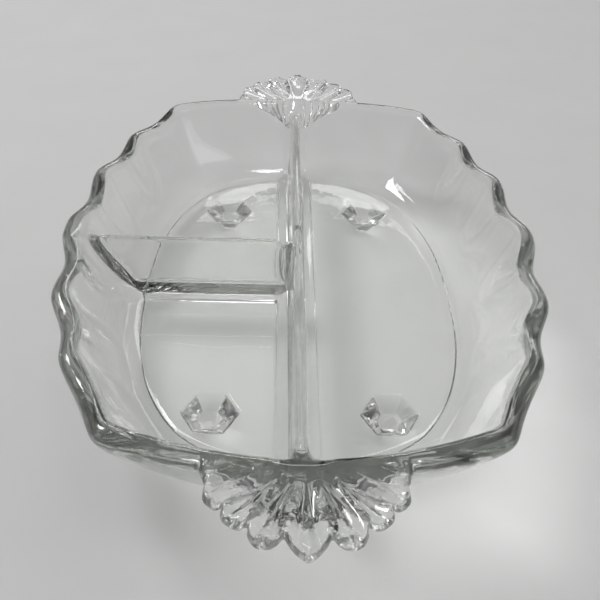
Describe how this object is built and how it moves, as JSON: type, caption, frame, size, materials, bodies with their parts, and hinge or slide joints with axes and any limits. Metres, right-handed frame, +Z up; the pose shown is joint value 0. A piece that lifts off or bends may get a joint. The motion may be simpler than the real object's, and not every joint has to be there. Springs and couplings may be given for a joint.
{
  "type": "relish tray",
  "caption": "Oval pressed glass relish tray with a scalloped rim, dividers on the floor, fan shaped handles at the ends and small faceted feet.",
  "frame": {"origin": "on the table, under the middle of the dish", "axes": "+X across the dish, away from the two small compartments; +Y along the dish, from one handle to the other; +Z up"},
  "size_m": [0.165, 0.2528, 0.042],
  "materials": {
    "glass": "clear pressed glass with fire polished, softly rounded edges"
  },
  "bodies": {
    "root": {"bowl": "glass", "long_divider": "glass", "cross_divider": "glass", "front_fan_handle": "glass", "back_fan_handle": "glass", "front_left_foot": "glass", "front_right_foot": "glass", "back_left_foot": "glass", "back_right_foot": "glass"}
  },
  "joints": []
}
